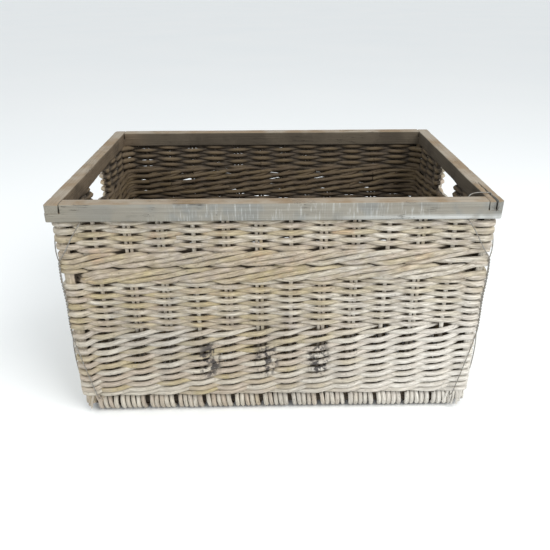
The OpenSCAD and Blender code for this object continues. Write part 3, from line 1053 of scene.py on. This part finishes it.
def buildBase():
    rng = random.Random(31)
    parts = [[], [], []]
    for i, x in enumerate(lanePositions()):
        for target, part in zip(parts, splitLane(laneRod(x, i, rng))):
            target.append(part)
    # one straight rod under every stake closes the slit between two sets of five
    for i, x in enumerate(frontX):
        line = []
        for k in range(9):
            z = base["stickZ"] + overUnder(k + i) * base["slitSway"]
            line.append(Vector((x + rng.uniform(-0.8, 0.8) * mm, base["slitY"] * (k / 4 - 1), z)))
        parts[1].append(makeRod(line, *base["slitRadius"], rng.uniform(0.1, 0.85), 12 * mm))
    for name, node, rods in (
        ("baseEdgeFront", "base_edge_front", parts[0]),
        ("baseWeave", "base_weave", parts[1]),
        ("baseEdgeBack", "base_edge_back", parts[2]),
    ):
        rodPiece(name, node, "willow_weave", rods, baseWillow)
    for side, sy in (("Front", -1), ("Back", 1)):
        line = [Vector((x, sy * base["stickY"], base["stickZ"])) for x in (stickLow.x, 0.1, stickHigh.x)]
        rods = [makeRod(line, base["stickRadius"], None, 0.3, 20 * mm)]
        node = "base_stick_" + side.lower()
        rodPiece("baseStick" + side, node, "willow_stakes", rods, stickWillow, 20, 1 * mm)
    rods = []
    spotsX = (innerLow.x, -0.1, 0.1, innerHigh.x)
    for y in innerSpots():
        line = [Vector((x, y + rng.uniform(-1, 1) * mm, base["stickZ"])) for x in spotsX]
        radius = base["innerRadius"]
        rods.append(makeRod(line, radius, radius * 0.9, rng.uniform(0.2, 0.7), 20 * mm))
    rodPiece("baseInnerSticks", "base_inner_sticks", "willow_stakes", rods, baseWillow, 12, 0.8 * mm)


ends = {
    "rows": 5,
    "radius": 3.9 * mm,
    "stripAcross": (4.5 * mm, 13.5 * mm),   # straight rods between the base and the side wall
    "stripSpots": (-0.25, -0.08, 0.08, 0.25),
    "stripRadius": (4.8 * mm, 4.4 * mm),
    "frayed": 5,                            # short ragged ends at each corner
    "frayTop": (0.352, 0.262, 0.046),
    "frayStep": (5 * mm, 1.5 * mm),
}


def frayedEnd(k, sx, sy, rng):
    top = Vector((sx * (ends["frayTop"][0] + ends["frayStep"][0] * k),
                  sy * (ends["frayTop"][1] + ends["frayStep"][1] * k), ends["frayTop"][2]))
    drop = rng.uniform(24, 36) * mm
    swing = rng.uniform(-12, 9) * mm
    foot = top + Vector((sx * swing, sy * 2 * mm, -drop))
    bend = (top + foot) / 2 + Vector((0, sy * 3 * mm, 0))
    return makeRod([top, bend, foot], rng.uniform(2.2, 3.6) * mm, 1.8 * mm, rng.uniform(0.2, 0.8))


def buildBaseEnds():
    # rods that close the short ends of the base, round the feet of the side stakes
    rng = random.Random(32)
    low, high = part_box("base_end_right")
    radius = ends["radius"]
    for side, first, sx in (("Right", rightFirst - 1, 1), ("Left", leftFirst - 1, -1)):
        rods = []
        for row in range(ends["rows"]):
            z = low.z + 4 * mm + (row + 0.5) * (high.z - low.z - 5 * mm) / ends["rows"]
            indexes = range(first + 1, first + 9)
            groups = [groupAt(i) for i in indexes]
            sides = [overUnder(i + row) for i in indexes]
            points = weavePoints(groups, sides, [z] * 8, bands["sway"], rng)
            start = wallPoint(groupAt(first)["s"] + rng.uniform(-4, 9) * mm, rng.uniform(2, 7) * mm, z)
            stop = wallPoint(groupAt(first + 9)["s"] + rng.uniform(-9, 4) * mm, rng.uniform(2, 7) * mm, z)
            rods.append(makeRod([start] + points + [stop], radius, radius * 0.95, rng.uniform(0.2, 0.8)))
        for across in ends["stripAcross"]:
            x = sx * (edgeHigh.x + across)
            line = [Vector((x + rng.uniform(-1, 1) * mm, y, base["stickZ"])) for y in ends["stripSpots"]]
            rods.append(makeRod(line, *ends["stripRadius"], rng.uniform(0.2, 0.8), 14 * mm))
        rods += [frayedEnd(k, sx, sy, rng) for sy in (-1, 1) for k in range(ends["frayed"])]
        rodPiece("baseEnd" + side, "base_end_" + side.lower(), "willow_weave", rods, baseWillow)


buildBase()
buildBaseEnds()
print("base woven")


# Rim rails, worn and hewn

rim = {
    "step": 3.0 * mm,
    "edgeRound": 3.0 * mm,
    "cornerRound": {(-1, -1): 2.0 * mm, (1, -1): 8.0 * mm, (-1, 1): 10.0 * mm, (1, 1): 5.0 * mm},
    "inset": 0.25 * mm,
    "gap": 0.1 * mm,            # half the gap between the halves of a lap
    "wave": 1.4 * mm,           # hewn waviness of the side rails
    "longWave": 0.5 * mm,       # and of the long rails
    "innerRake": 5.0 * mm,      # how far a side rail's inner foot is cut back
    "splitLength": 108 * mm,    # open split in the top of the right rail
    "splitWidth": 4.4 * mm,
    "topMarks": (9, 6, 4, 2.6, 1.7, 0.9, 0.0, -0.9, -1.7, -2.6, -4, -6, -9),
    "footMarks": (-8, -4, 0, 4, 8),
}


def railOutline(width, height, r):
    # closed outline seen along the rail, from the foot's outside edge; u is outward, v is up
    points = []
    for cu, cv, start in ((1, 0, -90), (1, 1, 0), (-1, 1, 90), (-1, 0, 180)):
        centreU = cu * (width / 2 - r)
        centreV = r if cv == 0 else height - r
        for k in range(5):
            a = math.radians(start + 90 * k / 4)
            points.append((centreU + r * math.cos(a), centreV + r * math.sin(a)))
        if start == 0:
            points += [(u * mm, height) for u in rim["topMarks"]]
        elif start == 180:
            points += [(u * mm, 0) for u in rim["footMarks"]]
        else:
            for k in range(1, 7):
                v = r + (height - 2 * r) * (k / 7 if cu > 0 else 1 - k / 7)
                points.append((cu * width / 2, v))
    return points


def railStations(length):
    # where the outlines stand along a rail, closer together at the shoulders of its laps
    lap, near = railWide, 0.02 * mm
    stations = {0.0}
    for start, end in ((0.0, lap), (lap + near, length - lap - near), (length - lap, length)):
        count = max(2, round((end - start) / rim["step"]))
        stations.update(start + (end - start) * k / count for k in range(count + 1))
    return sorted(stations)


def dent(p, scale, seed):
    return noise.noise(Vector((p[0] * scale + seed, p[1] * scale - seed, p[2] * scale)))


def splitDepth(s, u, height, seed):
    # how deep the split is, and how far into it a point lies, from 0 to 1
    part = 1 - s / rim["splitLength"]
    centre = 1.2 * mm * dent((s, 9, 1), 30, seed)
    half = max(0.7 * mm, rim["splitWidth"] / 2 * part ** 0.7)
    near = max(0.0, 1 - abs(u - centre) / (half + 0.5 * mm))
    into = min(1.0, near * 2.2)
    return (height / 2 - 0.6 * mm) * min(1.0, part * 1.5) * into, into


def buildRail(name, node, long, side, material, seed, split=False):
    low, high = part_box(node)
    height, half = high.z - low.z, railWide / 2
    length = (high.x - low.x) if long else (high.y - low.y)
    outline = railOutline(railWide, height, rim["edgeRound"])
    stations = railStations(length)
    wave = rim["longWave"] if long else rim["wave"]
    verts, hollows = [], []
    for s in stations:
        fromEnd = min(s, length - s)
        inLap = s <= railWide or s >= length - railWide
        endCut = max(0.0, 1 - fromEnd / (5 * mm)) ** 2 * 1.4 * mm
        hewn = wave * (0.5 + 0.5 * dent((s, seed, 0), 11, seed)) * 1.2
        hewnTop = wave * (0.5 + 0.5 * dent((s, seed + 5, 0), 9, seed)) * 0.8
        end = -1 if s < length / 2 else 1
        r = rim["cornerRound"][(end, side) if long else (side, end)]
        for u, v in outline:
            # half-lap ends keep the lower half of a long rail and the upper half of a side rail
            if inLap:
                v = v / 2 if long else height / 2 + v / 2
            chip = max(0.0, dent((s * (0.35 if long else 0.8), u, v), 75, seed) - 0.25) * 2.4 * mm
            edgeness = (abs(u) / half) ** 6 * (abs(2 * v / height - 1)) ** 6
            shrink = rim["inset"] + hewn * (0.5 if u > 0 else 1.3) + chip * edgeness
            outU = u * (1 - shrink / half)
            if not long and u < 0:
                outU += rim["innerRake"] * (1 - v / height) * (0.6 + 0.6 * dent((s, 2, 2), 14, seed))
            drop = rim["inset"] + hewnTop + chip * edgeness * 0.8 + endCut
            outV = v - drop if v > height / 2 else v + rim["inset"]
            if inLap and long:
                outV = min(outV, height / 2 - rim["gap"])
            if inLap and not long and v <= height / 2 + 0.01 * mm:
                outV = height / 2 + rim["gap"]
            hollow = 0.0
            if split and s < rim["splitLength"] and v > height * 0.9:
                depth, hollow = splitDepth(s, u, height, seed)
                outV -= depth
            # rounded outer corner of the whole rim
            if u > 0 and fromEnd < r:
                outU -= (r - math.sqrt(r * r - (r - fromEnd) ** 2)) * u / half
            along = s - length / 2
            across = side * ((rimY if long else rimX) - half + outU)
            verts.append((along, across, low.z + outV) if long else (across, along, low.z + outV))
            hollows.append(hollow)
    count = len(outline)
    faces = []
    for a in range(0, len(verts) - count, count):
        for j in range(count):
            k = (j + 1) % count
            faces.append((a + j, a + k, a + count + k, a + count + j))
    faces.append(tuple(range(count))[::-1])
    faces.append(tuple(range(len(verts) - count, len(verts))))
    mesh = bpy.data.meshes.new(name)
    mesh.from_pydata(verts, [], faces)
    mesh.attributes.new("hollow", "FLOAT", "POINT").data.foreach_set("value", hollows)
    tidyNormals(mesh)
    mesh.polygons.foreach_set("use_smooth", [True] * len(mesh.polygons))
    mesh.materials.append(material)
    finishPiece(link(name, mesh), [node])


def tidyNormals(mesh):
    work = bmesh.new()
    work.from_mesh(mesh)
    bmesh.ops.triangulate(work, faces=[f for f in work.faces if len(f.verts) > 4])
    bmesh.ops.recalc_face_normals(work, faces=work.faces)
    for edge in work.edges:
        if len(edge.link_faces) == 2 and edge.calc_face_angle(0) > math.radians(50):
            edge.smooth = False
    work.to_mesh(mesh)
    work.free()


buildRail("railFront", "rim_rail_front", True, -1, longTimber, 3.1)
buildRail("railBack", "rim_rail_back", True, 1, longTimber, 7.7)
buildRail("railLeft", "rim_rail_left", False, -1, sideTimber, 12.3)
buildRail("railRight", "rim_rail_right", False, 1, sideTimber, 18.9, True)
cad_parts["rim_nails"].data.materials.clear()
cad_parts["rim_nails"].data.materials.append(tieIron)
print("rim made")


# Wire ties at the corners, worked out for the front right one

tie = {
    "radius": 1.0 * mm,
    "twistRadius": 1.1 * mm,
    "twistPitch": 13 * mm,
    "topZ": 0.342,
    "lowZ": 0.189,
    "gapZ": rimUnder - 2 * mm,
    "out": 15.6 * mm,           # from the wall's middle line
    "reach": 30 * mm,
    "lowReach": 12 * mm,
    "inZ": 0.033,
    "step": 2.5 * mm,
    "turn": 27.3 * mm,          # the wire's way round the woven corner
    "hub": 13.2 * mm,           # from the wall's middle line in to the centre of that turn
}
hubX, hubY = lineX - tie["hub"], tie["hub"] - lineY
faceX, faceY = lineX + tie["out"], -(lineY + tie["out"])


def cornerPoint(a, z, extra):
    # a point just outside the woven corner; a runs from 0 at the front to 90 at the side
    r = tie["turn"] + extra
    return Vector((hubX + r * math.sin(math.radians(a)), hubY - r * math.cos(math.radians(a)), z))


def frontPoints(*spots):
    # each spot is the way left from the corner, in from the wire's plane, and up
    return [Vector((hubX - back, faceY + inward, z)) for back, inward, z in spots]


def sidePoints(*spots):
    return [Vector((faceX - inward, hubY + back, z)) for back, inward, z in spots]


def tieStarts(over):
    # how each strand leaves the rim; the first one may come over the rail
    reach, gapZ = tie["reach"], tie["gapZ"]
    inner = -(rimY - railWide - 1.2 * mm)
    if over:
        centre = rimX - railWide / 2
        front = [Vector(p) for p in (
            (centre, 32 * mm - rimY, rimTop - 12 * mm), (centre, 32 * mm - rimY, rimTop + 0.6 * mm),
            (centre - 4 * mm, 41 * mm - rimY, rimTop + 1.4 * mm), (hubX - 26 * mm, inner, rimTop + 0.6 * mm),
            (hubX - reach, inner, gapZ))]
    else:
        front = [Vector((hubX - reach, 2 * mm - lineY, z)) for z in (rimUnder + 8 * mm, gapZ)]
    side = [Vector((lineX - 2 * mm, hubY + reach, z)) for z in (rimUnder + 8 * mm, gapZ)]
    return front, side


def tieStrands(over):
    # two wires come together at the corner, twist on their way down, and part again
    reach, lowReach, gapZ = tie["reach"], tie["lowReach"], tie["gapZ"]
    front, side = tieStarts(over)
    front += frontPoints((reach, 0, gapZ - 1 * mm), (14 * mm, 0, 0.398), (0, 0.4 * mm, 0.374))
    side += sidePoints((reach, 0, gapZ - 1 * mm), (12 * mm, 0, 0.392), (0, 0, 0.374))
    frontTail = frontPoints((0, 0, 0.103), (8 * mm, -0.2 * mm, 0.066),
                            (lowReach, 0.8 * mm, 0.046), (lowReach, 12 * mm, tie["inZ"]))
    sideTail = sidePoints((0, 0, 0.103), (8 * mm, 0, 0.066),
                          (lowReach, 0.8 * mm, 0.046), (lowReach, 12 * mm, tie["inZ"]))
    twists = (tie["topZ"] - tie["lowZ"]) / tie["twistPitch"]
    count = round(twists * 8)
    strands = []
    for phase, turnAt, lead, tail in ((0, 24, front, frontTail), (math.pi, 66, side, sideTail)):
        twisted = []
        for k in range(count + 1):
            part = k / count
            z = tie["topZ"] + (tie["lowZ"] - tie["topZ"]) * part
            a = phase + 2 * math.pi * twists * part
            core = cornerPoint(45 + 4 * math.sin(part * 9), z, 1.2 * mm + 0.5 * mm * math.sin(part * 5))
            twisted.append(core + Vector((math.cos(a), math.sin(a), 0)) * tie["twistRadius"])
        strands.append(lead + [cornerPoint(turnAt, 0.357, 0.5 * mm)] + twisted
                       + [cornerPoint(turnAt, 0.150, 0.3 * mm)] + tail)
    return strands


def buildTies():
    for front, sy in (("Front", -1), ("Back", 1)):
        for side, sx in (("Left", -1), ("Right", 1)):
            rods = []
            for strand in tieStrands((sx, sy) == (1, -1)):
                points = [Vector((p.x * sx, p.y * -sy, p.z)) for p in strand]
                rods.append(makeRod(points, tie["radius"], None, 0.5, tie["step"]))
            node = f"corner_tie_{front.lower()}_{side.lower()}"
            rodPiece("cornerTie" + front + side, node, "tie_wire", rods, tieIron, 6, 0.1 * mm)


buildTies()
print("ties made")


# Studio

view = {
    "place": (-0.0125, -1.2395, 0.7994),
    "yaw": -0.7176,
    "pitch": 26.556,
    "roll": -0.223,
    "lens": 38.5,
}


def buildCamera():
    yaw, pitch, roll = (math.radians(view[k]) for k in ("yaw", "pitch", "roll"))
    right = Vector((math.cos(yaw), math.sin(yaw), 0))
    level = Vector((-math.sin(yaw), math.cos(yaw), 0))
    forward = level * math.cos(pitch) - Vector((0, 0, math.sin(pitch)))
    up = right.cross(forward)
    tiltedRight = right * math.cos(roll) + up * math.sin(roll)
    tiltedUp = -right * math.sin(roll) + up * math.cos(roll)
    data = bpy.data.cameras.new("camera")
    data.lens = view["lens"]
    data.sensor_width = 36
    camera = link("camera", data)
    turn = Matrix((tiltedRight, tiltedUp, -forward)).transposed().to_4x4()
    camera.matrix_world = Matrix.Translation(Vector(view["place"])) @ turn
    bpy.context.scene.camera = camera


def areaLight(name, place, target, size, power, colour):
    data = bpy.data.lights.new(name, "AREA")
    data.size = size
    data.energy = power
    data.color = colour
    light = link(name, data)
    light.location = place
    light.rotation_euler = (Vector(target) - Vector(place)).to_track_quat("-Z", "Y").to_euler()


def buildStudio():
    bpy.ops.mesh.primitive_plane_add(size=90, location=(0, 0, 0))
    floor = bpy.context.object
    floor.name = "floor"
    floor.data.materials.append(floorMaterial())
    areaLight("keyLight", (1.5, -1.6, 2.3), (0, 0, 0.25), 1.8, 62, (1.0, 0.985, 0.96))
    areaLight("fillLight", (-2.0, -1.5, 1.9), (0, 0, 0.2), 2.2, 20, (0.95, 0.98, 1.0))
    world = bpy.data.worlds.new("studio")
    world.use_nodes = True
    sky = world.node_tree.nodes["Background"].inputs
    sky["Color"].default_value = (0.95, 0.98, 1.0, 1)
    sky["Strength"].default_value = 0.9
    bpy.context.scene.world = world
    bpy.context.scene.view_settings.view_transform = "Standard"


buildCamera()
buildStudio()
